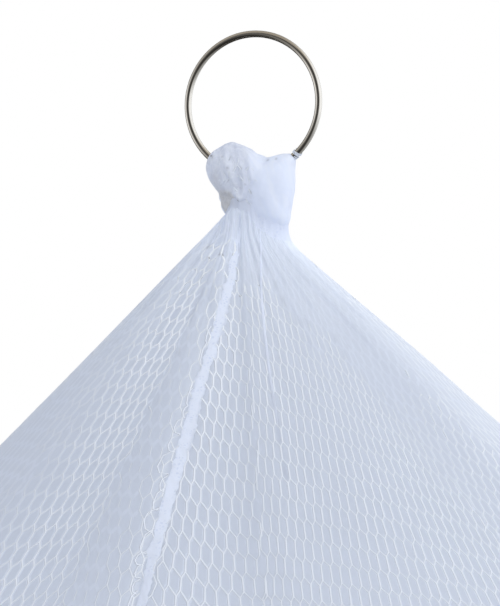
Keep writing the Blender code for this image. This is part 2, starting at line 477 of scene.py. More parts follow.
def hoopFrame(azimuth):
    outward = Vector((math.sin(azimuth) * math.cos(hoop["tilt"]), -math.cos(azimuth),
                      math.sin(azimuth) * math.sin(hoop["tilt"])))
    upward = Vector((-math.sin(hoop["tilt"]), 0, math.cos(hoop["tilt"])))
    return hoopCentre + hoop["radius"] * outward, outward, upward


def roundRod(azimuth, lean, reach):
    rod, outward, upward = hoopFrame(azimuth)
    return rod + reach * (math.cos(lean) * outward + math.sin(lean) * upward)


def wrapDegrees(azimuth):
    degrees = math.degrees(azimuth)
    return (degrees - panels[0]["start"]) % 360 + panels[0]["start"]


def panelAt(azimuth):
    degrees = wrapDegrees(azimuth)
    for panel in panels:
        if panel["start"] <= degrees < panel["end"]:
            return panel, (degrees - panel["start"]) / (panel["end"] - panel["start"])
    return panels[-1], 1.0


def between(value, stops):
    # which two stops a value lies between, and how far along
    for index in range(len(stops) - 1):
        if value < stops[index + 1]:
            break
    return index, min(1.0, max(0.0, (value - stops[index]) / (stops[index + 1] - stops[index])))


def cellShape(azimuth):
    index, share = between(wrapDegrees(azimuth), [shape[0] for shape in cellShapes])
    return [mix(a, b, share) for a, b in zip(cellShapes[index][1:], cellShapes[index + 1][1:])]


def clearness(azimuth, slant):
    degrees = halfTurn(math.degrees(azimuth))
    down, part = between(slant, clearSlants)
    patch = 0.14 * noise.noise(Vector((math.sin(azimuth) * slant * 140,
                                       math.cos(azimuth) * slant * 140, 21)))
    if clearRows[0][0] < degrees < clearRows[-1][0]:
        turn, share = between(degrees, [row[0] for row in clearRows])
        near, far = (mix(clearRows[index][1][down], clearRows[index][1][down + 1], part)
                     for index in (turn, turn + 1))
        value = mix(near, far, ease(share))
    else:
        value = 0.55 + 0.35 * noise.noise(Vector((degrees / 25, slant * 20, 31)))
    return max(0.03, value * (1 + patch) + patch * 0.4)


def toneAt(azimuth, slant):
    # paler towards the knot, and palest below its right side; the roof's right side is painted paler as well,
    # as painted light from the lamp on that side
    degrees = math.degrees(azimuth)
    patch = bell(degrees, 66, 16) * bell(slant, 0.0095, 0.0035)
    # painted light: the side that faces the lamp is painted paler
    side = ease((degrees - 46) / 24) * ease((130 - degrees) / 30)
    aside = (azimuth - stripLine(seam, slant)) * slant * roof["steep"]
    fringe = bell(aside, -0.0018, 0.0011) * ease((slant - 0.03) / 0.02) * (
        0.7 + 0.6 * noise.noise(Vector((slant * 260, aside * 900, 8))))
    return min(1.0, 0.10 + 0.86 * math.exp(-slant / 0.020) + 0.4 * patch + 0.34 * side + 0.22 * fringe)


# the sewn seam down the roof, and the crease beside it: where each runs, and its shape
seam = {
    "degrees": -15.9, "swing": 17, "settle": 0.020,
    "from": 0.002, "to": 0.40, "rows": 560, "across": 11,
    "width": 0.0028, "height": 0.00020, "sink": 0.00009, "top": 0.85, "rough": 0.42, "bend": 0.7,
    "stitches": 2600, "soft": 0.75, "waves": 0.45,
    "widthAt": (0.0, 0.050, 0.068, 0.084, 0.093, 0.103, 0.112, 0.4),
    "widths": (1.0, 0.95, 1.2, 1.0, 0.72, 0.75, 0.95, 1.0),
    "paler": (0.075, 0.020, 0.35),   # from which slant, over how much, and how far it fades
}
crease = {
    "degrees": 5.2, "swing": 60, "settle": 0.0095,
    "from": 0.008, "to": 0.072, "rows": 90, "across": 7,
    "width": 0.0007, "height": 0.00024, "sink": 0.00012, "top": 0.9, "rough": 0.25, "bend": 0.3,
    "stitches": 0, "soft": 0.9,
}


def stripLine(strip, slant):
    degrees = strip["degrees"] + strip["swing"] * math.exp(-slant / strip["settle"])
    wander = strip["bend"] * noise.noise(Vector((slant * 55, strip["degrees"], 3)))
    return math.radians(degrees) + wander * 0.0006 / max(0.003, slant * roof["steep"])


def fullness(degrees, slant):
    # the roof stands fuller at its sides, and bulges where it comes out of the knot
    degrees = halfTurn(degrees)
    left = 0.0008 * bell(degrees, -85, 38) * bell(slant, 0, 0.25) * ease(slant / 0.012)
    right = 0.00055 * bell(degrees, 82, 38) * ease(slant / 0.012) * (1 - ease((slant - 0.044) / 0.022))
    return (left + right + 0.0011 * bell(degrees, 80, 30) * bell(slant, 0.0085, 0.004)
            + 0.0034 * bell(degrees, -5, 45) * bell(slant, 0.0040, 0.0035)
            + 0.0016 * bell(degrees, 50, 30) * bell(slant, 0.0065, 0.0040))


def relief(azimuth, share, slant):
    panel, across = panelAt(azimuth)
    fold = roof["coarse"] * panel["rise"] * math.sin(math.pi * across) * math.sin(math.pi * share ** 0.5)
    gather = math.exp(-slant / roof["gatherFade"])
    side = Vector((math.sin(azimuth), math.cos(azimuth), 0))
    fine = noise.noise(side * 11 + up * (2 + slant * 8))
    finer = noise.noise(side * 30 + up * (9 + slant * 20))
    small = roof["fine"] * fine * (0.35 + gather) + roof["finer"] * finer * gather
    return fold + small * min(1, slant / 0.006) + fullness(math.degrees(azimuth), slant)


def slantLength(azimuth):
    return (roundRod(azimuth, seatLean, hoop["rod"] / 2) - roof["apex"]).length


def roofPoint(azimuth, share):
    seat = roundRod(azimuth, seatLean, roof["reach"])
    line = seat - roof["apex"]
    point = roof["apex"] + share * line
    point.z -= 4 * roof["sag"] * share * (1 - share)
    outward = Vector((line.x, line.y, 0)).normalized()
    return point + (relief(azimuth, share, share * line.length) + roof["lift"]) * (outward + up).normalized()


knit = {
    "side": 0.57,            # share of a row that is the holes' straight side
    "yarn": 0.00029,         # half its width
    "flatness": 0.12,        # how high it stands for its width
    "shade": 0.18,           # half the width painted under it, in holes
    "from": 0.0100,          # the yarns are separate from here
    "to": 0.125,
    "wander": 0.00015,
    "faintest": 0.12,        # yarns less clear than this are only painted
    "linked": 0.12,          # where they show less than this, nothing links them sideways
    "strength": 0.56,        # of their colour, for how clear the holes are there
    "painted": 0.62,         # the same for the holes painted on the cloth
}


def knitPattern(tree):
    # 1 on the yarns round six-sided holes, 0 in the holes
    place = addNode(tree, "ShaderNodeUVMap", uv_map="knit").outputs[0]
    across, down, _ = addNode(tree, "ShaderNodeSeparateXYZ", {0: place}).outputs
    side, skew, link = (ownAttribute(tree, name) for name in ("side", "skew", "link"))
    number = sums(tree, "FLOOR", down)
    within = sums(tree, "FRACT", down)
    shift = sums(tree, "FRACT", sums(tree, "MULTIPLY", number, 0.5))
    rest = sums(tree, "SUBTRACT", 1.0, side)
    slanting = sums(tree, "DIVIDE", sums(tree, "SUBTRACT", within, side), rest, clamp=True)
    lower = sums(tree, "MINIMUM", sums(tree, "DIVIDE", within, side), sums(tree, "SUBTRACT", 1.0, slanting))
    columns = sums(tree, "SUBTRACT", sums(tree, "ADD", across, shift), sums(tree, "MULTIPLY", lower, skew))
    middle = sums(tree, "FRACT", sums(tree, "ADD", columns, 0.5))
    aside = sums(tree, "ABSOLUTE", sums(tree, "SUBTRACT", middle, 0.5))
    away = sums(tree, "ABSOLUTE", sums(tree, "SUBTRACT", aside, sums(tree, "MULTIPLY", slanting, 0.5)))
    # a slanting yarn is as wide as an upright one
    steep = sums(tree, "MULTIPLY", rest, 2.0)
    upright = sums(tree, "DIVIDE", steep, sums(tree, "SQRT", sums(tree, "MULTIPLY_ADD", steep, steep, 0.25)))
    isLink = ramp(tree, slanting, 0.0, 0.1)
    away = sums(tree, "MULTIPLY", away, sums(tree, "SUBTRACT", 1.0, sums(
        tree, "MULTIPLY", isLink, sums(tree, "SUBTRACT", 1.0, upright))))
    fainter = sums(tree, "SUBTRACT", 1.0, sums(tree, "MULTIPLY", isLink, sums(tree, "SUBTRACT", 1.0, link)))
    return sums(tree, "MULTIPLY", fainter, ramp(tree, away, knit["shade"] * 1.35, knit["shade"] * 0.45))


def netSurface(tree, shader, colour, cover=None, glow=0.35):
    # thin cloth: some of the light goes through, and open holes where cover is low
    for name, value in (("Base Color", colour), ("Roughness", 0.85), ("Specular IOR Level", 0.25)):
        feed(tree, shader.inputs[name], value)
    passing = addNode(tree, "ShaderNodeBsdfTranslucent", {"Color": colour})
    final = blendShader(tree, glow, shader.outputs[0], passing.outputs[0])
    if cover is not None:
        final = blendShader(tree, cover, addNode(tree, "ShaderNodeBsdfTransparent").outputs[0], final)
    tree.links.new(final, tree.nodes["Material Output"].inputs["Surface"])


# pairs go from far from the knot to close to it, unless their note says otherwise; the tone that picks
# between them also holds painted light on the roof's right side
netShades = {
    "ground": ((0.53, 0.57, 0.66), (0.86, 0.91, 1.0)),       # between the yarns
    "raised": ((0.75, 0.80, 0.915), (0.95, 0.97, 1.0)),      # the yarns painted over it
    "cover": ((0.34, 0.34, 0.34), (0.94, 0.94, 0.94)),       # of single net: in its holes, on its yarns
    "twist": ((0.70, 0.745, 0.835), (0.76, 0.80, 0.885)),    # along a standing yarn
    "dull": ((0.50, 0.535, 0.61), (0.92, 0.96, 1.0)),        # one that hardly shows; far from the knot it is painted a little darker than the cloth between the yarns, as painted shade
    "bright": (0.93, 0.95, 0.99),
    "doubled": ((0.845, 0.89, 0.99), (0.74, 0.795, 0.925)),  # raised and sunk places of the seam
    "gathered": ((0.83, 0.875, 0.98), (0.77, 0.82, 0.95)),
    "rim": (0.64, 0.68, 0.775),      # thin edges of the seam and the gathers, and painted shade on the collar
}


def netMaterial():
    made, tree, shader = newMaterial("canopyNet")
    pattern = knitPattern(tree)
    ground = blendColour(tree, ownAttribute(tree, "tone"), *netShades["ground"])
    raised = blendColour(tree, ownAttribute(tree, "tone"), *netShades["raised"])
    shown = sums(tree, "MULTIPLY", pattern, ownAttribute(tree, "clear"))
    colour = blendColour(tree, shown, ground, raised)
    # many layers near the knot, single net towards the hoop
    thin = sums(tree, "SUBTRACT", blendColour(tree, pattern, *netShades["cover"]), 1.0)
    netSurface(tree, shader, colour, sums(tree, "MULTIPLY_ADD", thin, ownAttribute(tree, "single"), 1.0))
    return made


def latticeAt(chart, azimuth, slant):
    turned = roof["steep"] * ((azimuth - math.radians(chart["aim"]) + math.pi) % tau - math.pi)
    x, y = slant / knitSpan * math.sin(turned), slant / knitSpan * math.cos(turned)
    terms = (x, y, x * x, x * y, y * y)
    return tuple(sum(a * b for a, b in zip(chart[way], terms)) for way in ("across", "down"))


def placeOf(chart, column, row):
    # the azimuth and slant of a place in the net, by Newton's steps
    x, y = 0.0, 1.0
    across, down = chart["across"], chart["down"]
    for _ in range(12):
        terms = (x, y, x * x, x * y, y * y)
        offAcross = sum(a * b for a, b in zip(across, terms)) - column
        offDown = sum(a * b for a, b in zip(down, terms)) - row
        (ax, ay), (dx, dy) = ((way[0] + 2 * way[2] * x + way[3] * y, way[1] + way[3] * x + 2 * way[4] * y)
                              for way in (across, down))
        whole = ax * dy - ay * dx
        if abs(whole) < 1e-6 or abs(x) + abs(y) > 8:
            return None
        x, y = x - (dy * offAcross - ay * offDown) / whole, y - (ax * offDown - dx * offAcross) / whole
    return math.radians(chart["aim"]) + math.atan2(x, y) / roof["steep"], math.hypot(x, y) * knitSpan


canopyNet = netMaterial()


def makeVeil():
    columns, rows = roof["columns"], roof["rows"]
    points, shares = [], []
    values = {name: [] for name in ("tone", "clear", "single", "side", "skew", "link")}
    for row in range(rows):
        share = roof["start"] + (1 - roof["start"]) * (row / (rows - 1)) ** roof["bunched"]
        shares.append(share)
        for column in range(columns):
            azimuth = tau * column / columns - math.pi
            slant = share * slantLength(azimuth)
            clear = clearness(azimuth, slant)
            points.append(roofPoint(azimuth, share))
            values["tone"].append(toneAt(azimuth, slant))
            values["clear"].append(min(1.0, knit["painted"] * clear))
            for name, value in zip(("side", "skew", "link"), cellShape(azimuth)):
                values[name].append(value)
            thin = ease((slant - roof["thinFrom"]) / roof["thinOver"])
            values["single"].append(mix(roof["dense"], 1.0, thin))
    for lean in roof["overRod"]:                 # and on over the rod
        shares.append(1 + (seatLean - math.radians(lean)) * hoop["rod"] / 2 / slantLength(0))
        for column in range(columns):
            azimuth = tau * column / columns - math.pi
            points.append(roundRod(azimuth, math.radians(lean), roof["reach"]))
            for name, value in zip(values, roof["overRodNet"]):
                values[name].append(value)
    made = meshObject("roofNet", points, gridFaces(len(shares), columns), material=canopyNet)
    for name, numbers in values.items():
        pointValues(made, name, numbers)
    wrap = made.data.uv_layers.new(name="wrap")
    flat = made.data.uv_layers.new(name="knit")
    for face in made.data.polygons:
        column, row = face.index % columns, face.index // columns
        chart = panelAt(tau * (column + 0.5) / columns - math.pi)[0]["chart"]
        if shares[row] * slantLength(0) > knit["to"] + 0.01:
            chart = plainChart(chart["aim"], roof["hole"], roof["row"])
        for corner in face.loop_indices:
            row, at = divmod(made.data.loops[corner].vertex_index, columns)
            turn = 1.0 if column == columns - 1 and at == 0 else at / columns
            azimuth = tau * turn - math.pi
            wrap.data[corner].uv = (turn, shares[row])
            flat.data[corner].uv = latticeAt(chart, azimuth, shares[row] * slantLength(azimuth))
    return made


veil = makeVeil()
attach(veil, "root")
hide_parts("net_roof")
print("roof made:", len(veil.data.polygons), "faces")


def joinHoles(rows, columns, vertex, edges, addLink):
    # the holes' straight sides, and the slanting yarns from their lower ends to the next row
    for row in rows:
        for step in columns:
            column = step + (0.5 if row % 2 else 0.0)
            head, foot = vertex(column, row, False), vertex(column, row, True)
            if head is not None and foot is not None:
                edges.append((head, foot))
            for aside in (-0.5, 0.5):
                below = vertex(column + aside, row + 1, False)
                if foot is not None and below is not None:
                    addLink(foot, below)


def knitChart(chart, start, end):
    # yarns that stand out round the holes, near the knot
    points, edges, values, index = [], [], {"clear": [], "thick": [], "lift": [], "tone": []}, {}
    corners = [latticeAt(chart, math.radians(mix(start - 1, end + 1, i / 6)),
                         mix(knit["from"], knit["to"], j / 6)) for i in range(7) for j in range(7)]
    columns, rows = (range(math.floor(min(way)) - 1, math.ceil(max(way)) + 2) for way in zip(*corners))

    def addPoint(turn, share, clear, link=1.0):
        points.append((turn, share, 0.0))
        azimuth = turn * tau - math.pi
        slant = share * slantLength(azimuth)
        shown = clear * link
        values["clear"].append(min(1.0, shown * knit["strength"]))
        # thinner close to the knot, and where they fade out
        fading = ease(0.4 + (clear - knit["faintest"]) / 0.2)
        fading *= mix(0.45, 1.0, ease((slant - 0.012) / 0.030))
        values["thick"].append((0.70 + 0.30 * min(1.1, clear)) * mix(0.7, 1.0, link) * fading)
        sunk = 0.00005 * (1 - ease((clear - knit["faintest"]) / 0.08)) * (1 - ease((slant - 0.035) / 0.015))
        values["lift"].append(mix(-0.00002, 0.00001, min(1.0, shown * 1.3)) - sunk)
        values["tone"].append(toneAt(azimuth, slant))
        return len(points) - 1

    def vertex(column, row, foot):
        key = (column, row, foot)
        if key not in index:
            index[key] = None
            place = placeOf(chart, column, row)
            if place and foot:
                side, skew, _ = cellShape(place[0])
                place = placeOf(chart, column + skew, row + side)
            if (place and start - 0.4 < math.degrees(place[0]) < end + 0.4
                    and knit["from"] < place[1] < knit["to"]):
                azimuth, slant = place
                seed = Vector((azimuth * slant * 300, slant * 300, chart["aim"]))
                azimuth += knit["wander"] * noise.noise(seed + up * 7.7) / (slant * roof["steep"])
                slant += knit["wander"] * noise.noise(seed)
                clear = clearness(azimuth, slant) * ease((knit["to"] - slant) / 0.015)
                if clear > knit["faintest"]:
                    turn = (azimuth + math.pi) / tau % 1.0
                    index[key] = addPoint(turn, slant / slantLength(azimuth), clear)
        return index[key]

    def addLink(foot, below):
        # its middle is fainter and thinner than its ends
        (turn, share, _), (otherTurn, otherShare, _) = points[foot], points[below]
        ends = values["clear"][foot], values["clear"][below]
        if abs(turn - otherTurn) > 0.5 or min(ends) < knit["linked"]:
            return
        turn, share = (turn + otherTurn) / 2, (share + otherShare) / 2
        clear = sum(ends) / (2 * knit["strength"])
        middle = addPoint(turn, share, clear, cellShape(turn * tau - math.pi)[2])
        edges.extend(((foot, middle), (middle, below)))

    joinHoles(rows, columns, vertex, edges, addLink)
    return points, edges, values


def yarnMaterial():
    made, tree, shader = newMaterial("netYarn")
    twist = cloudy(tree, ownPlace(tree), 1800)["Fac"]
    white = blendColour(tree, twist, *netShades["twist"])
    # far from the knot this is painted a little darker than the cloth, as painted shade
    dull = blendColour(tree, ownAttribute(tree, "tone"), *netShades["dull"])
    bright = blendColour(tree, ownAttribute(tree, "tone"), white, netShades["bright"])
    netSurface(tree, shader, blendColour(tree, ownAttribute(tree, "clear"), dull, bright), glow=0.0)
    return made


def yarnTree(material):
    tree = bpy.data.node_groups.new("wrapYarns", "GeometryNodeTree")
    for name, kind in (("Geometry", "Geometry"), ("Cloth", "Object"), ("Yarn Radius", "Float"),
                       ("Flatness", "Float")):
        tree.interface.new_socket(name, in_out="INPUT", socket_type="NodeSocket" + kind)
    tree.interface.new_socket("Geometry", in_out="OUTPUT", socket_type="NodeSocketGeometry")
    given = addNode(tree, "NodeGroupInput").outputs
    cloth = addNode(tree, "GeometryNodeObjectInfo", {"Object": given["Cloth"]}).outputs["Geometry"]
    position = addNode(tree, "GeometryNodeInputPosition").outputs[0]

    def step(kind, inputs, **settings):
        return addNode(tree, kind, inputs, **settings).outputs[0]

    def named(name, kind="FLOAT_VECTOR"):
        return step("GeometryNodeInputNamedAttribute", {"Name": name}, data_type=kind)

    def sample(value):
        # the cloth's own value at the place on its chart where this point is
        return step("GeometryNodeSampleUVSurface", {
            "Mesh": cloth, "Value": value, "Source UV Map": named("wrap"), "Sample UV": position,
        }, data_type="FLOAT_VECTOR")

    facing = sample(addNode(tree, "GeometryNodeInputNormal").outputs[0])
    raised = step("ShaderNodeVectorMath", {0: facing, "Scale": named("lift", "FLOAT")}, operation="SCALE")
    spot = step("ShaderNodeVectorMath", {0: sample(position), 1: raised}, operation="ADD")
    kept = step("GeometryNodeStoreNamedAttribute", {
        "Geometry": given["Geometry"], "Name": "facing", "Value": facing,
    }, data_type="FLOAT_VECTOR", domain="POINT")
    placed = step("GeometryNodeSetPosition", {"Geometry": kept, "Position": spot})
    lines = step("GeometryNodeMeshToCurve", {"Mesh": placed})
    upright = step("GeometryNodeSetCurveNormal", {"Curve": lines, "Normal": named("facing")}, mode="FREE")
    sized = step("GeometryNodeSetCurveRadius", {"Curve": upright, "Radius": named("thick", "FLOAT")})
    # a low rib: three sides, its ridge away from the cloth
    profile = step("GeometryNodeCurvePrimitiveCircle", {"Resolution": 3, "Radius": given["Yarn Radius"]})
    flatter = step("ShaderNodeCombineXYZ", {0: given["Flatness"], 1: 1.0, 2: 1.0})
    pressed = step("GeometryNodeTransform", {"Geometry": profile, "Scale": flatter})
    ribs = step("GeometryNodeCurveToMesh", {"Curve": sized, "Profile Curve": pressed, "Fill Caps": True})
    real = step("GeometryNodeRealizeInstances", {0: ribs})
    painted = step("GeometryNodeSetMaterial", {"Geometry": real, "Material": material})
    addNode(tree, "NodeGroupOutput", {0: painted})
    return tree


def setInputs(modifier, values):
    for item in modifier.node_group.interface.items_tree:
        if item.in_out == "INPUT" and item.name in values:
            modifier[item.identifier] = values[item.name]


def bake(source):
    # the evaluated mesh, as a plain object without the modifier
    graph = bpy.context.evaluated_depsgraph_get()
    data = bpy.data.meshes.new_from_object(source.evaluated_get(graph))
    old = source.data
    source.modifiers.clear()
    source.data = data
    data.name = source.name
    bpy.data.meshes.remove(old)
    return source


netYarn = yarnMaterial()
yarnGroup = yarnTree(netYarn)


def wrapYarns(name, cloth, points, edges, values, radius=knit["yarn"], flatness=knit["flatness"]):
    made = meshObject(name, points, edges=edges)
    for key, numbers in values.items():
        pointValues(made, key, numbers)
    modifier = made.modifiers.new("yarns", "NODES")
    modifier.node_group = yarnGroup
    setInputs(modifier, {"Cloth": cloth, "Yarn Radius": radius, "Flatness": flatness})
    bake(made)
    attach(made, "root")
    print(name, "made:", len(made.data.polygons), "faces")
    return made


def makeYarns(name, low, high):
    # panels side by side that share a chart are knitted as one
    runs = []
    for panel in panels:
        if not low <= panel["start"] < high:
            continue
        if runs and runs[-1][0] is panel["chart"]:
            runs[-1][2] = panel["end"]
        else:
            runs.append([panel["chart"], panel["start"], panel["end"]])
    points, edges, values = [], [], {"clear": [], "thick": [], "lift": [], "tone": []}
    for run in runs:
        morePoints, moreEdges, moreValues = knitChart(*run)
        edges += [(a + len(points), b + len(points)) for a, b in moreEdges]
        points += morePoints
        for key, numbers in moreValues.items():
            values[key] += numbers
    return wrapYarns(name, veil, points, edges, values)


veilPieces = [makeYarns("yarnsFront", -95, 92), makeYarns("yarnsBack", 92, 265)]


def stripMaterial(name, light, dark, depth):
    made, tree, shader = newMaterial(name)
    place = ownPlace(tree)
    cells = cellular(tree, place, 1500)
    patches = ramp(tree, cloudy(tree, place, 420)["Fac"], 0.42, 0.62)
    shown = sums(tree, "MULTIPLY", ramp(tree, cells, 0.10, 0.34), patches)
    # thinner towards its edges, and on the collar darker with painted shade
    colour = blendColour(tree, ownAttribute(tree, "rim"), blendColour(tree, shown, light, dark),
                         netShades["rim"])
    addBump(tree, shader, shown, depth, 0.00015, invert=True)
    netSurface(tree, shader, colour, glow=0.4)
    return made


doubledNet = stripMaterial("doubledNet", *netShades["doubled"], 0.15)
gatheredNet = stripMaterial("gatheredNet", *netShades["gathered"], 0.1)


def surfaceFrame(azimuth, slant):
    # a place on the roof, which way is sideways there, and which way is out
    step = 0.0004
    share = slant / slantLength(azimuth)
    here = roofPoint(azimuth, share)
    turn = step / max(0.002, slant * roof["steep"])
    down = step / roof["long"]
    along = roofPoint(azimuth, share + down) - roofPoint(azimuth, max(0, share - down))
    sideways = roofPoint(azimuth + turn, share) - roofPoint(azimuth - turn, share)
    return here, sideways.normalized(), sideways.cross(along).normalized() * -1


def stripMesh(strip, frameAt=None):
    points, rimAndShadeValues = [], []
    across = strip["across"]
    isShort = strip["to"] < 0.1              # it sinks and fades out at its lower end
    for row in range(strip["rows"]):
        slant = mix(strip["from"], strip["to"], (row / (strip["rows"] - 1)) ** 1.3)
        here, sideways, outward = frameAt(slant) if frameAt else surfaceFrame(stripLine(strip, slant), slant)
        grown = mix(strip["top"], 1.0, ease(slant / 0.045))
        fade = min(1.0, (strip["to"] - slant) / (0.3 * strip["to"])) if isShort else 1.0
        ending = ease((slant / strip["to"] - 0.35) / 0.6) if isShort else 0.0
        swell, pale = 1.0, 0.0
        if "widths" in strip:
            index, part = between(slant, strip["widthAt"])
            swell = mix(strip["widths"][index], strip["widths"][index + 1], part)
            start, over, most = strip["paler"]
            pale = most * ease((slant - start) / over)
        for column in range(across):
            place = 2 * column / (across - 1) - 1
            ragged = swell + strip["rough"] * noise.noise(
                Vector((slant * 900, place * 1.1, strip["degrees"])))
            ragged += strip.get("waves", 0) * noise.noise(
                Vector((slant * 330, 4 * math.copysign(1, place), 9)))
            weave = 0.85 + 0.15 * math.cos(place * 6) * math.sin(slant * strip["stitches"])
            high = (1 - place ** 4) * weave
            high *= 1 + 0.35 * strip["rough"] * noise.noise(Vector((slant * 700, place * 2, 5)))
            points.append(here + sideways * (strip["width"] / 2 * grown * place * ragged)
                          + outward * (strip["height"] * grown * fade * high - strip["sink"]))
            thin = abs(place) + 0.25 * noise.noise(Vector((slant * 1100, place * 2, 15)))
            rimAndShadeValues.append(max(ending, pale, strip["soft"] * ease((thin - 0.45) / 0.55)))
    return points, gridFaces(strip["rows"], across, closed=False), rimAndShadeValues


def makeStrips(name, strips, material, frameAt=None):
    points, faces, rimAndShadeValues = [], [], []
    for strip in strips:
        morePoints, moreFaces, moreRims = stripMesh(strip, frameAt)
        base = len(points)
        points += morePoints
        rimAndShadeValues += moreRims
        faces += [tuple(corner + base for corner in face) for face in moreFaces]
    made = meshObject(name, points, faces, material=material)
    pointValues(made, "rim", rimAndShadeValues)
    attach(made, "root")
    return made


gathers = {
    "count": 64, "clearOfSeam": 6,           # degrees round on either side of it
    "rows": 36, "across": 7, "sink": 0.00012, "top": 0.35, "rough": 0.2, "stitches": 0, "soft": 0.6,
    "swing": 0, "settle": 1,
}


def makeGathers():
    # tapering folds where the net leaves the knot
    dice = random.Random(7)
    strips = []
    for index in range(gathers["count"]):
        degrees = index * 360 / gathers["count"] + dice.uniform(-2.5, 2.5)
        fromSeam = halfTurn(degrees) - math.degrees(stripLine(seam, 0.009))
        if abs(fromSeam) < gathers["clearOfSeam"]:
            continue
        strips.append(dict(gathers, degrees=degrees, to=dice.uniform(0.016, 0.042),
                           width=dice.uniform(0.0008, 0.0018), height=dice.uniform(0.00006, 0.00015),
                           bend=dice.uniform(-0.8, 0.8)))
        strips[-1]["from"] = dice.uniform(0.0018, 0.0032)
    return makeStrips("neckGathers", strips, gatheredNet)


veilPieces += [makeStrips("roofSeam", [seam], doubledNet), makeStrips("roofCrease", [crease], gatheredNet),
               makeGathers()]
print("seam, crease and gathers made")

# loops of cut net that stick out along the seam's left side
edging = {
    "from": 0.030, "to": 0.117, "pitch": 0.0040, "reach": 0.0012,
    "overlap": 0.0003,       # of their ends under the seam's edge
    "radius": 0.00022, "flatness": 0.10, "thickness": 0.9, "lift": 0.00002, "clear": 0.62,
}


def seamPoint(slant, aside):
    azimuth = stripLine(seam, slant) + aside / max(0.003, slant * roof["steep"])
    return ((azimuth + math.pi) / tau % 1.0, slant / slantLength(azimuth), 0.0)


def makeEdging():
    points, edges = [], []
    dice = random.Random(11)
    slant = edging["from"]
    edge = edging["overlap"] - seam["width"] / 2
    while slant < edging["to"]:
        tall = edging["pitch"] * dice.uniform(0.7, 1.4)
        loose = ease((slant - 0.045) / 0.02) * dice.uniform(0.2, 1.6)
        out = edge - edging["reach"] * (0.3 + loose)
        if loose > 0.3 or dice.random() < 0.5:
            sag = dice.uniform(0.0, 0.25) * tall
            loop = [(slant, edge), (slant + 0.2 * tall + 0.3 * sag, mix(edge, out, 0.8)),
                    (slant + 0.5 * tall + sag, out), (slant + 0.85 * tall + 0.6 * sag, mix(edge, out, 0.7)),
                    (slant + tall, edge)]
            edges.extend((len(points) + i, len(points) + i + 1) for i in range(len(loop) - 1))
            points.extend(seamPoint(*place) for place in loop)
        slant += tall * dice.uniform(0.7, 1.2)
    values = {key: [edging[own]] * len(points)
              for key, own in (("clear", "clear"), ("thick", "thickness"), ("lift", "lift"))}
    return wrapYarns("seamYarns", veil, points, edges, values, edging["radius"], edging["flatness"])


veilPieces.append(makeEdging())

skirt = {
    "columns": 700, "rows": 104,
    "leans": (36, 32, 28, 22, 15, 7),      # degrees up from the hoop's plane, where it lies over the rod
    "tucked": 0.0042, "beside": 0.0054,    # from the rod's middle, at its top edge and below that
    "hemLevel": -2.35, "flare": 0.140, "foldDepth": 0.060, "foldStart": 0.22,
    "gathers": 84, "gatherDepth": 0.0036, "gatherFade": 0.17,
    "sway": 0.006,           # slow waves between the folds
    "hole": 0.0019, "row": 0.0042, "clear": 0.6, "link": 0.8,
    "tone": 0.16, "gathered": 0.30, "gatheredTone": 0.3,
    "hemTone": 0.14, "hemCover": 0.35,     # how much paler and denser the doubled hem is
    "hem": 0.018, "turn": 0.0007,          # the hem's depth, and half of what lies between its layers
    "hemLines": (0.0035, 0.007, 0.0105, 0.014, 0.0163, 0.018),
    "start": math.radians(-15.9),          # its one seam is in line with the roof's
}
# the folds that hang from the hoop: degrees turned and depth at the hem, and how far the hem lifts
skirtFolds = [
    (2.0, 1.00, 0.004), (-3.0, 0.82, -0.006), (1.5, 1.12, 0.003), (4.0, 0.90, 0.008), (-2.0, 1.05, -0.004),
    (-4.5, 0.78, 0.002), (1.0, 1.15, -0.007), (3.5, 0.95, 0.005), (-1.0, 0.85, 0.000), (-3.5, 1.10, -0.005),
    (2.5, 0.92, 0.007), (4.5, 1.08, -0.002), (-2.5, 0.80, 0.004), (-1.5, 1.02, -0.006),
]


def skirtPoint(azimuth, fall):
    # on the skirt's net, from beside the rod (0) to the hem (1)
    along = azimuth % tau / tau * len(skirtFolds)
    index = int(along)
    blend = along - index
    eased = (1 - math.cos(math.pi * blend)) / 2
    turn, depth, lift = (mix(a, b, eased) for a, b in
                         zip(skirtFolds[index % len(skirtFolds)], skirtFolds[(index + 1) % len(skirtFolds)]))
    top = roundRod(azimuth, 0, skirt["beside"])
    below = fall * (top.z - skirt["hemLevel"])
    opened = 1 - math.exp(-below / skirt["foldStart"])
    side = Vector((math.sin(azimuth), math.cos(azimuth), 0))
    gather = ease(below / 0.016) * math.exp(-below / skirt["gatherFade"])
    ripple = 0.5 + 0.5 * math.cos(skirt["gathers"] * azimuth + 3 * noise.noise(side * 4 + up * below * 3))
    ripple *= 0.65 + 0.5 * noise.noise(side * 9 + up * 5)
    radius = (math.hypot(top.x - hoopCentre.x, top.y) + skirt["flare"] * fall
              + skirt["foldDepth"] * depth * opened * math.cos(tau * blend)
              + skirt["gatherDepth"] * gather * ripple
              + skirt["sway"] * opened * (1 - fall) ** 0.3 * noise.noise(side * 3.3 + up * (7 + fall * 2.2)))
    heading = math.atan2(top.x - hoopCentre.x, -top.y) + math.radians(turn) * fall
    return Vector((hoopCentre.x + radius * math.sin(heading), -radius * math.cos(heading),
                   top.z - below + lift * fall))


def skirtAzimuth(column):
    return skirt["start"] + tau * column / skirt["columns"]


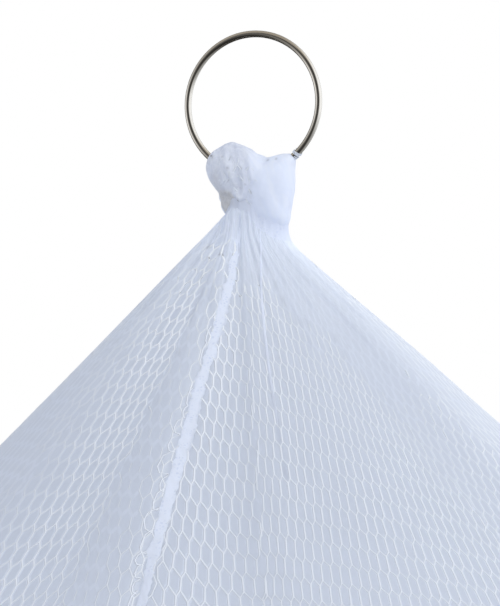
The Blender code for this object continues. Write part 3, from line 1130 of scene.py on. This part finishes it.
def makeSkirt():
    columns, count = skirt["columns"], skirt["rows"]
    tall = hoopCentre.z - skirt["hemLevel"]
    rows, downs = [], []                   # a row's points, and how far down the cloth it is
    for index, lean in enumerate(skirt["leans"]):
        reach = mix(skirt["tucked"], skirt["beside"], index / len(skirt["leans"]))
        rows.append([roundRod(skirtAzimuth(column), math.radians(lean), reach) for column in range(columns)])
        downs.append(-math.radians(lean) * reach)
    lastFall = 1 - skirt["turn"] / tall
    for index in range(count):
        fall = lastFall * (index / (count - 1)) ** 1.35
        rows.append([skirtPoint(skirtAzimuth(column), fall) for column in range(columns)])
        downs.append(fall * tall)
    # the hem turns up on the outside
    low = rows[-1]
    outwards = [(low[(column + 1) % columns] - low[column - 1]).cross(up).normalized()
                for column in range(columns)]
    turn = skirt["turn"]
    for degrees in (45, 90, 135, 180):
        angle = math.radians(degrees)
        rows.append([spot + outward * turn * (1 - math.cos(angle)) - up * turn * math.sin(angle)
                     for spot, outward in zip(low, outwards)])
        downs.append(downs[-1] + turn * math.pi / 4)
    hemRow = len(rows) - 1
    for high in skirt["hemLines"]:
        fall = lastFall - high / tall
        rows.append([skirtPoint(skirtAzimuth(column), fall) + outwards[column] * 2 * turn
                     for column in range(columns)])
        downs.append(downs[hemRow] + high)
    points = [spot for row in rows for spot in row]
    made = meshObject("skirtNet", points, gridFaces(len(rows), columns), material=canopyNet)
    gathered = [skirt["gathered"] * math.exp(-max(0, down) / skirt["gatherFade"]) for down in downs]
    inHem = [1.0 if down > downs[hemRow] - skirt["hem"] else 0.0 for down in downs]
    for name, numbers in (
            ("tone", [skirt["tone"] + skirt["gatheredTone"] * g + skirt["hemTone"] * h
                      for g, h in zip(gathered, inHem)]),
            ("clear", [skirt["clear"]] * len(rows)), ("side", [knit["side"]] * len(rows)),
            ("skew", [0.0] * len(rows)), ("link", [skirt["link"]] * len(rows)),
            ("single", [1.0 - g - skirt["hemCover"] * h for g, h in zip(gathered, inHem)])):
        pointValues(made, name, [value for value in numbers for _ in range(columns)])
    arcs = [0.0]
    for column in range(columns):
        arcs.append(arcs[-1] + (low[(column + 1) % columns] - low[column]).length)
    wrap = made.data.uv_layers.new(name="wrap")
    flat = made.data.uv_layers.new(name="knit")
    for face in made.data.polygons:
        for corner in face.loop_indices:
            row, at = divmod(made.data.loops[corner].vertex_index, columns)
            at = columns if face.index % columns == columns - 1 and at == 0 else at
            wrap.data[corner].uv = (at / columns, row / (len(rows) - 1))
            flat.data[corner].uv = (arcs[at] / skirt["hole"], downs[row] / skirt["row"])
    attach(made, "root")
    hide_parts("net_skirt")
    print("skirt made:", len(made.data.polygons), "faces, hem", round(arcs[-1], 2), "m round")
    return made, arcs, downs


skirtNet, hemArcs, skirtDowns = makeSkirt()

sewing = {
    "pitch": 0.0046, "length": 0.0030, "radius": 0.00035, "flatness": 0.5,
    "aboveHem": 0.0145,      # how far above its fold the hem is sewn
    "belowEdge": 0.0009,     # from the skirt's top edge
    "lifts": (0.00002, 0.00022, 0.00002), "thickness": (0.75, 1.0, 0.75),    # along a stitch
}


def stitchRound(name, down, arcs):
    # running stitches round the skirt, at this distance down its cloth
    index, share = between(down, skirtDowns)
    level = (index + share) / (len(skirtDowns) - 1)
    points, edges, column = [], [], 0
    count = round(arcs[-1] / sewing["pitch"])
    dice = random.Random(3)

    def turnAt(length):
        nonlocal column
        while arcs[column + 1] < length:
            column += 1
        return (column + (length - arcs[column]) / (arcs[column + 1] - arcs[column])) / skirt["columns"]

    for index in range(count):
        start = arcs[-1] * index / count
        ends = [turnAt(start + sewing["length"] * part * dice.uniform(0.94, 1.0))
                for part in (0.02, 0.5, 1.0)]
        edges += [(len(points), len(points) + 1), (len(points) + 1, len(points) + 2)]
        points += [(end, level + dice.uniform(-0.0002, 0.0002), 0.0) for end in ends]
    return wrapYarns(name, skirtNet, points, edges, {
        "clear": [1.0] * len(points), "thick": sewing["thickness"] * count,
        "lift": sewing["lifts"] * count}, sewing["radius"], sewing["flatness"])


def skirtFrame(down):
    # where the seam runs at this distance down the skirt
    tall = hoopCentre.z - skirt["hemLevel"]
    azimuth, step = skirt["start"], 0.004

    def spot(turned, below):
        if below < 0:
            return roundRod(turned, -below / skirt["beside"], skirt["beside"])
        return skirtPoint(turned, below / tall)

    here = spot(azimuth, down)
    sideways = spot(azimuth + 0.003, down) - spot(azimuth - 0.003, down)
    along = spot(azimuth, down + step) - spot(azimuth, down - step)
    return here, sideways.normalized(), along.cross(sideways).normalized()


skirtSeam = dict(seam, swing=0, to=hoopCentre.z - skirt["hemLevel"] - skirt["hem"],
                 rows=420, across=7, top=1.0)
skirtSeam["from"] = -0.0030
rodArcs = [tau * hoop["radius"] * column / skirt["columns"] for column in range(skirt["columns"] + 1)]
skirtPieces = [
    makeStrips("skirtSeam", [skirtSeam], doubledNet, skirtFrame),
    stitchRound("hemStitches", skirtDowns[-1] - skirt["hem"] + sewing["aboveHem"], hemArcs),
    stitchRound("hoopStitches", skirtDowns[0] + sewing["belowEdge"], rodArcs),
]


def sheetArea(piece):
    return sum(face.area for face in piece.data.polygons)


print("cloth areas:", round(sheetArea(veil), 3), round(sheetArea(skirtNet), 3))
print("skirt sewn")

knot = {
    "middle": Vector((0.0003, -0.0006, -0.0174)),    # from the ring's centre
    "front": 0.0066,
    "back": 0.0064,
    "around": 300,
    "rings": 200,
    "boxy": 0.86,
    # colours by tone: the pouch's grey and the middle's are partly painted shade
    "pouch": (0.585, 0.585, 0.60),
    "middleNet": (0.65, 0.69, 0.80),
    "wad": (0.78, 0.835, 0.965),
    "yarn": (0.88, 0.91, 0.97),
    # painted shade for the gaps between the folds
    "gap": (0.16, 0.16, 0.19),
    "streaks": ((0.92, 0, 0.39), (0, 1, 0), (0.06, 0, -0.14)),       # the axes they are stretched on
    "chart": 0.026,          # width and height of each half of its flat chart
    # outline seen from the front, mm from the ring's centre
    "outline": [
        (-8.6, -10.4), (-6.9, -9.2), (-4.7, -8.1), (-3.2, -8.3), (-1.1, -9.2), (0.9, -10.4),
        (3.0, -11.2), (4.6, -11.1), (6.3, -10.8), (7.9, -10.4), (8.8, -11.3), (8.9, -12.6), (8.7, -14.3),
        (8.5, -17.2), (8.0, -20.1), (7.5, -22.5), (7.15, -24.9), (6.8, -26.4), (5.3, -27.0),
        (3.2, -26.7), (0.7, -25.5), (-1.6, -24.1), (-3.6, -23.9), (-5.5, -22.6), (-6.4, -21.1),
        (-6.5, -19.9), (-6.9, -18.4), (-7.9, -17.2), (-9.0, -15.5), (-9.6, -13.4), (-9.2, -11.4),
    ],
}

# broad lumps and hollows on the front: x and z in mm, half width across and down, height
lumps = [
    (-4.2, -13.2, 3.4, 3.6, 1.0),
    (5.0, -17.6, 3.2, 5.6, 1.3),
    (3.8, -23.6, 3.6, 2.6, 0.9),
    (-5.4, -20.6, 1.8, 2.2, -1.4),
    (-1.6, -22.4, 2.2, 1.6, -1.0),
    (1.8, -12.0, 1.5, 1.8, -0.6),
    (6.8, -12.0, 1.8, 1.4, 0.5),
]

# folds: a line of points (x, z in mm), half width, height
folds = [
    ([(3.0, -11.2), (1.2, -13.8), (0.0, -17.0), (-1.4, -20.2)], 1.2, -0.24),
    ([(-1.4, -10.0), (0.3, -14.2), (1.8, -18.4), (5.0, -22.2), (7.4, -24.0)], 1.2, 0.25),
    ([(-5.4, -9.2), (-5.0, -13.2), (-3.8, -17.6), (-2.6, -20.6)], 0.55, 0.26),
    ([(-3.2, -9.0), (-2.4, -12.6), (-1.6, -16.4), (-1.9, -20.0)], 0.50, 0.26),
    ([(-7.4, -10.8), (-7.4, -14.2), (-6.2, -17.6), (-4.4, -20.0)], 0.60, 0.26),
    ([(-1.2, -10.4), (-0.6, -13.4), (0.0, -16.2)], 0.50, 0.20),
    ([(-6.6, -12.0), (-5.0, -15.6), (-3.4, -18.4)], 0.40, -0.16),
    ([(-4.4, -11.0), (-3.2, -14.6), (-2.4, -18.0)], 0.36, -0.18),
    ([(5.6, -11.6), (6.4, -15.6), (6.3, -20.4), (5.4, -24.4)], 1.1, 0.14),
    ([(3.2, -13.6), (3.6, -17.4), (5.2, -21.6)], 0.9, -0.10),
    ([(7.6, -12.4), (7.9, -17.0), (7.4, -22.6)], 0.7, 0.10),
    ([(2.2, -19.8), (3.4, -23.4), (4.4, -26.4)], 0.7, 0.08),
    ([(-3.4, -19.4), (-2.0, -20.6), (0.2, -22.6), (2.2, -25.6)], 0.8, 0.14),
    ([(-6.4, -18.6), (-4.6, -18.9), (-3.0, -20.0)], 0.8, 0.28),
    ([(-6.0, -22.0), (-4.0, -22.2), (-1.8, -23.4)], 0.5, 0.35),
    ([(-9.0, -12.4), (-7.6, -12.9), (-6.2, -12.2)], 0.4, 0.30),
    ([(2.6, -12.0), (4.4, -12.3), (6.2, -11.9)], 0.35, -0.22),
]
# on the back the cloth wraps the other way
backFolds = [
    ([(8.0, -11.6), (4.0, -14.6), (-0.5, -18.6), (-4.6, -21.6)], 1.2, 0.9),
    ([(3.4, -11.4), (0.2, -14.4), (-4.0, -17.4)], 0.8, -0.6),
    ([(-7.6, -11.4), (-6.4, -15.2), (-6.0, -19.4)], 0.7, 0.5),
    ([(6.6, -16.4), (4.4, -20.4), (2.8, -25.2)], 0.8, 0.5),
    ([(-2.4, -9.4), (-3.0, -13.4), (-5.2, -16.4)], 0.5, 0.45),
    ([(1.4, -20.2), (-0.6, -22.6), (-2.0, -24.4)], 0.6, -0.4),
]

# painted shade in the small gaps between the folds: x and z in mm, and how dark
shadedPits = [(-3.0, -20.5, 0.9), (-2.0, -20.9, 0.8), (-2.2, -14.3, 0.5), (-4.4, -14.3, 0.35), (-8.3, -11.1, 0.9),
        (-7.9, -11.6, 0.6), (-1.4, -17.2, 0.3), (-5.6, -12.0, 0.3), (3.2, -11.9, 0.35), (4.6, -12.1, 0.35)]


def paintedPitShade(x, z, isFront):
    if not isFront:
        return 0.0
    return max(dark * math.exp(-((x - px) ** 2 + (z - pz) ** 2) / 0.05) for px, pz, dark in shadedPits)


def farFromLine(x, z, line):
    nearest = 1e9
    for (ax, az), (bx, bz) in zip(line, line[1:]):
        dx, dz = bx - ax, bz - az
        share = ((x - ax) * dx + (z - az) * dz) / (dx * dx + dz * dz)
        share = min(1.0, max(0.0, share))
        nearest = min(nearest, math.hypot(x - ax - share * dx, z - az - share * dz))
    return nearest


def dome(x, z, middleX, middleZ, wide, deep):
    return math.exp(-((x - middleX) / wide) ** 2 - ((z - middleZ) / deep) ** 2)


def knotRelief(x, z, isFront):
    height = 0.0
    if isFront:
        for *place, rise in lumps:
            height += rise * dome(x, z, *place)
    for line, wide, rise in folds if isFront else backFolds:
        away = farFromLine(x, z, line) / wide
        if away < 3:
            height += rise * math.exp(-away * away)
    crumpled = ease((2.5 - x) / 6)
    height += (0.10 + 0.22 * crumpled) * noise.noise(Vector((x * 0.55, z * 0.42, 3.0 + isFront)))
    height += (0.04 + 0.12 * crumpled) * noise.noise(Vector((x * 1.3, z * 0.9, 11.0 + isFront)))
    height += 0.05 * crumpled * noise.noise(Vector((x * 2.8, z * 2.2, 19.0 + isFront)))
    return height / 1000


def knotTone(x, z, isFront):
    # 0 in the thin grey pouch, 1 on the tight white wad; it also holds painted shade on the left side and in
    # the pouch, and painted light on the right lobe's left flank
    # darker to the left: partly thinner net, partly painted shade on the side away from the lamp
    tone = mix(0.42, 1.0, ease((x + 3.4 + 0.04 * (z + 17)) / 6.0))
    if isFront:
        # painted shadow in the pouch, over its thin grey net
        tone -= 0.9 * dome(x, z, -5.4, -20.7, 1.6, 1.9)
        # painted light on the right lobe's left flank
        tone += 0.15 * dome(x, z, 1.2, -21.0, 2.0, 3.0)
        # painted shade along the left edge
        tone -= 0.16 * (1 - ease((x + 9.6 + (z + 13) * 0.44) / 4))
    tone += 0.18 * noise.noise(Vector((x * 0.5, z * 0.4, 40)))
    return min(1.0, max(0.0, tone))


def outlineReach(angle):
    # distance from the knot's middle to its outline in this direction, in metres
    middleX, middleZ = knot["middle"].x * 1000, knot["middle"].z * 1000
    corners = [(math.atan2(z - middleZ, x - middleX), math.hypot(x - middleX, z - middleZ))
               for x, z in knot["outline"]]
    corners.sort()
    corners = [(corners[-1][0] - tau, corners[-1][1])] + corners + [(corners[0][0] + tau, corners[0][1])]
    angle = (angle + math.pi) % tau - math.pi
    for (a, ra), (b, rb) in zip(corners, corners[1:]):
        if a <= angle <= b:
            return mix(ra, rb, (angle - a) / (b - a)) / 1000
    return corners[0][1] / 1000


def knotMaterial():
    made, tree, shader = newMaterial("knotNet")
    tone, place = ownAttribute(tree, "tone"), ownPlace(tree)
    moved = addNode(tree, "ShaderNodeVectorMath", {
        0: cloudy(tree, place, 240)["Color"], 1: (0.0016, 0.0016, 0.0016), 2: place,
    }, operation="MULTIPLY_ADD").outputs[0]
    stretched = addNode(tree, "ShaderNodeMapping", {"Vector": moved, "Scale": (1.0, 1.0, 0.6)}).outputs[0]
    yarns = ramp(tree, cellular(tree, stretched, 900), 0.13, 0.03)
    shownYarns = sums(tree, "MULTIPLY", yarns, ramp(tree, tone, 0.95, 0.35, 0.02, 0.15))
    # soft light streaks run down the wrapped cloth: painted light and shade of its soft folds
    turned = [dotProduct(tree, moved, way) for way in knot["streaks"]]
    streaked = addNode(tree, "ShaderNodeCombineXYZ", enumerate(turned)).outputs[0]
    lines = sums(tree, "MULTIPLY", ramp(tree, cloudy(tree, streaked, 800, 1)["Fac"], 0.38, 0.66),
                 ramp(tree, tone, 0.1, 0.5, 0.0, 0.30))
    # grey pouch to white wad by tone, which carries painted shade and painted light as well
    greyToMid = blendColour(tree, ramp(tree, tone, 0.0, 0.42), knot["pouch"], knot["middleNet"])
    body = blendColour(tree, ramp(tree, tone, 0.42, 1.0), greyToMid, knot["wad"])
    netted = blendColour(tree, sums(tree, "ADD", shownYarns, lines), body, knot["yarn"])
    # painted shade in the gaps between the folds
    colour = blendColour(tree, ownAttribute(tree, "pit"), netted, knot["gap"])
    addBump(tree, shader, shownYarns, 0.25, 0.00010)
    netSurface(tree, shader, colour, glow=0.3)
    return made


def makeKnot():
    around, rings = knot["around"], knot["rings"]
    reaches = smoothed([outlineReach(tau * index / around) for index in range(around)], 3)
    average = sum(reaches) / around
    middle = ringCentre + knot["middle"]
    points, tones, pitShades = [], [], []
    for ringIndex in range(1, rings):
        lean = math.pi * ringIndex / rings
        isFront = lean < math.pi / 2
        depth = knot["front"] if isFront else knot["back"]
        out = math.sin(lean) ** knot["boxy"]
        for index in range(around):
            angle = tau * index / around
            reach = mix(average, reaches[index], math.sin(lean) ** 1.5) * out
            x, z = reach * math.cos(angle), reach * math.sin(angle)
            y = -depth * math.copysign(abs(math.cos(lean)) ** 0.9, math.cos(lean))
            fromRing = (x + knot["middle"].x) * 1000, (z + knot["middle"].z) * 1000
            facing = Vector((x / average, y / depth, z / average)).normalized()
            shown = ease(abs(math.cos(lean)) * 3.0)
            high = knotRelief(*fromRing, isFront) * shown
            points.append(middle + Vector((x, y, z)) + facing * high)
            tones.append(knotTone(*fromRing, isFront))
            pitShades.append(paintedPitShade(*fromRing, isFront))
    faces = gridFaces(rings - 1, around)
    for start, flip in ((0, False), ((rings - 2) * around, True)):
        pole = len(points)
        loop = [start + index for index in range(around)]
        points.append(sum((points[index] for index in loop), Vector()) / around)
        tones.append(tones[loop[0]])
        pitShades.append(0.0)
        for a, b in zip(loop, loop[1:] + loop[:1]):
            faces.append((pole, b, a) if flip else (pole, a, b))
    made = meshObject("knotWad", points, faces, material=knotMaterial())
    pointValues(made, "tone", tones)
    pointValues(made, "pit", pitShades)
    # a flat chart of the front and one of the back, for the yarns
    wrap = made.data.uv_layers.new(name="wrap")
    span = knot["chart"]
    for face in made.data.polygons:
        isFront = face.center.y < middle.y
        for corner in face.loop_indices:
            spot = made.data.vertices[made.data.loops[corner].vertex_index].co - middle
            along = (0.25 if isFront else 0.75) + spot.x / span / 2
            wrap.data[corner].uv = (along, 0.5 + spot.z / span)
    return made


knotWad = makeKnot()
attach(knotWad, "root")
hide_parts("net_knot")
print("knot made:", len(knotWad.data.polygons), "faces")

# the cloth comes out of the knot in one piece with the roof: a band rounds the corner between them
collar = {
    "around": 260, "across": 15, "up": 0.0020, "down": 0.0030, "sink": 0.0001, "fold": 0.00016,
}


def cornerSlant(tree, azimuth):
    # where the roof comes out of the knot
    slant = 0.014
    while slant > 0.0012:
        point = roofPoint(azimuth, slant / slantLength(azimuth))
        near, normal, _, _ = tree.find_nearest(point)
        if (point - near).dot(normal) < 0:
            break
        slant -= 0.0002
    return slant


def makeCollar():
    tree = BVHTree.FromObject(knotWad, bpy.context.evaluated_depsgraph_get())
    corners = [cornerSlant(tree, tau * index / collar["around"]) for index in range(collar["around"])]
    corners = smoothed(corners, 6)
    points, rimAndShadeValues = [], []
    for index, slant in enumerate(corners):
        azimuth = tau * index / collar["around"]
        degrees = halfTurn(math.degrees(azimuth))
        small = 1 - 0.8 * bell(degrees, -68, 48)
        outward = Vector((math.sin(azimuth), -math.cos(azimuth), 0))
        inner = roofPoint(azimuth, slant / slantLength(azimuth))
        lower, _, lowerNormal = surfaceFrame(azimuth, slant + collar["down"] * small)
        level = Vector((roof["apex"].x, roof["apex"].y, inner.z + collar["up"] * small))
        upper, upperNormal, _, _ = tree.ray_cast(level + outward * 0.03, -outward)
        upper = upper - upperNormal * collar["sink"]
        lower = lower - lowerNormal * collar["sink"]
        away = (upper + lower - 2 * inner).normalized()
        for step in range(collar["across"]):
            share = step / (collar["across"] - 1)
            spot = upper * (1 - share) ** 2 + inner * (2 * share * (1 - share)) + lower * share ** 2
            crimp = noise.noise(Vector((math.sin(azimuth) * 9, math.cos(azimuth) * 9, 4 + share * 0.5)))
            puff = 2 * collar["sink"] + collar["fold"] * crimp
            points.append(spot + away * math.sin(math.pi * share) * puff)
            # the thin edge on the knot's side, and painted shade on the left front where the cloth turns
            # under the knot
            rimAndShadeValues.append(min(1.0, 0.55 * bell(degrees, -24, 36) + 0.12 * ease(1 - share)))
    faces = []
    for index in range(collar["around"]):
        after = (index + 1) % collar["around"]
        for step in range(collar["across"] - 1):
            a, b = index * collar["across"] + step, after * collar["across"] + step
            faces.append((a, a + 1, b + 1, b))
    made = meshObject("neckCollar", points, faces, material=gatheredNet)
    pointValues(made, "rim", rimAndShadeValues)
    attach(made, "root")


makeCollar()

knotYarn = {
    "hole": 1.25,            # mm
    "row": 2.3,
    "warp": 1.5,
    "inside": 0.86,          # share of the outline's reach
    "rows": range(0, 12), "steps": range(-9, 10), "top": 12,
    "radius": 0.00019, "flatness": 0.16, "thickness": 0.7,
}


def makeKnotYarns():
    points, edges, clear, lift, index = [], [], [], [], {}
    middleX, middleZ, span = knot["middle"].x * 1000, knot["middle"].z * 1000, knot["chart"] * 1000

    def vertex(side, column, row, foot):
        key = (side, column, row, foot)
        if key in index:
            return index[key]
        index[key] = None
        x = column * knotYarn["hole"]
        z = -(row + (knit["side"] if foot else 0)) * knotYarn["row"] + knotYarn["top"]
        seed = Vector((x * 0.16, z * 0.16, side * 5))
        x += knotYarn["warp"] * noise.noise(seed) + 0.5 * noise.noise(seed * 4)
        z += knotYarn["warp"] * noise.noise(seed + up * 9) + 0.5 * noise.noise(seed * 4 + up * 9)
        reach = outlineReach(math.atan2(z, x)) * 1000 * knotYarn["inside"]
        if math.hypot(x, z) < reach:
            strength = ease((3.0 - (x + middleX)) / 5)
            strength *= 1 - dome(x + middleX, z + middleZ, -5.3, -20.6, 2.2, 2.4)
            if side:
                strength = 0.7
            if strength > 0.05:
                index[key] = len(points)
                along = 0.25 + 0.5 * side + x / span / 2
                points.append((along, 0.5 + z / span, 0.0))
                broken = noise.noise(Vector((x * 0.5, z * 0.5, 77 + side)))
                clear.append(0.8)
                lift.append(mix(-0.00012, 0.00003, strength * ease(0.70 + broken * 1.6)))
        return index[key]

    for side in (0, 1):
        joinHoles(knotYarn["rows"], knotYarn["steps"], lambda *place: vertex(side, *place), edges,
                  lambda *ends: edges.append(ends))
    wrapYarns("knotYarns", knotWad, points, edges,
              {"clear": clear, "thick": [knotYarn["thickness"]] * len(points), "lift": lift},
              knotYarn["radius"], knotYarn["flatness"])


makeKnotYarns()

# where the wire goes into the knot, small loops of the net lie round it
entry = {
    "places": [(-125.0, 0.0013), (-48.0, 0.0012)],      # degrees round the ring, and how far along it
    "loops": 5, "steps": 22, "turns": 1.2, "yarn": 0.00011, "sides": 5, "clear": 0.45,
}


def makeEntryLoops():
    dice = random.Random(19)
    points, faces, sides = [], [], entry["sides"]
    sideways = Vector((math.cos(ring["turn"]), math.sin(ring["turn"]), 0))
    normal = up.cross(sideways)
    for degrees, reach in entry["places"]:
        for _ in range(entry["loops"]):
            middle = math.radians(degrees) + (dice.random() - 0.5) * reach / ring["radius"]
            slip = dice.uniform(-0.0009, 0.0009) / ring["radius"]
            first, away = dice.uniform(0, tau), ring["wire"] / 2 + dice.uniform(0.00008, 0.0002)
            line = []
            for step in range(entry["steps"] + 1):
                share = step / entry["steps"]
                angle = middle + slip * (share - 0.5) * 2
                outward = sideways * math.cos(angle) + up * math.sin(angle)
                turned = first + share * tau * entry["turns"]
                line.append(ringCentre + outward * ring["radius"]
                            + (outward * math.cos(turned) + normal * math.sin(turned)) * away)
            base = len(points)
            for index, spot in enumerate(line):
                along = (line[min(index + 1, len(line) - 1)] - line[max(index - 1, 0)]).normalized()
                outer = (spot - ringCentre).cross(along).normalized()
                other = along.cross(outer)
                for side in range(sides):
                    angle = tau * side / sides
                    points.append(spot + entry["yarn"] * (outer * math.cos(angle) + other * math.sin(angle)))
            for index in range(len(line) - 1):
                for side in range(sides):
                    low, after = base + index * sides, (side + 1) % sides
                    faces.append((low + side, low + after, low + sides + after, low + sides + side))
            faces.append(tuple(base + side for side in reversed(range(sides))))
            faces.append(tuple(base + (len(line) - 1) * sides + side for side in range(sides)))
    made = meshObject("entryLoops", points, faces, material=netYarn)
    pointValues(made, "clear", [entry["clear"]] * len(points))
    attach(made, "root")


makeEntryLoops()

# the ring mirrors only the room
for piece in bpy.data.objects:
    if piece.type == "MESH" and piece is not ringWire:
        piece.visible_glossy = False
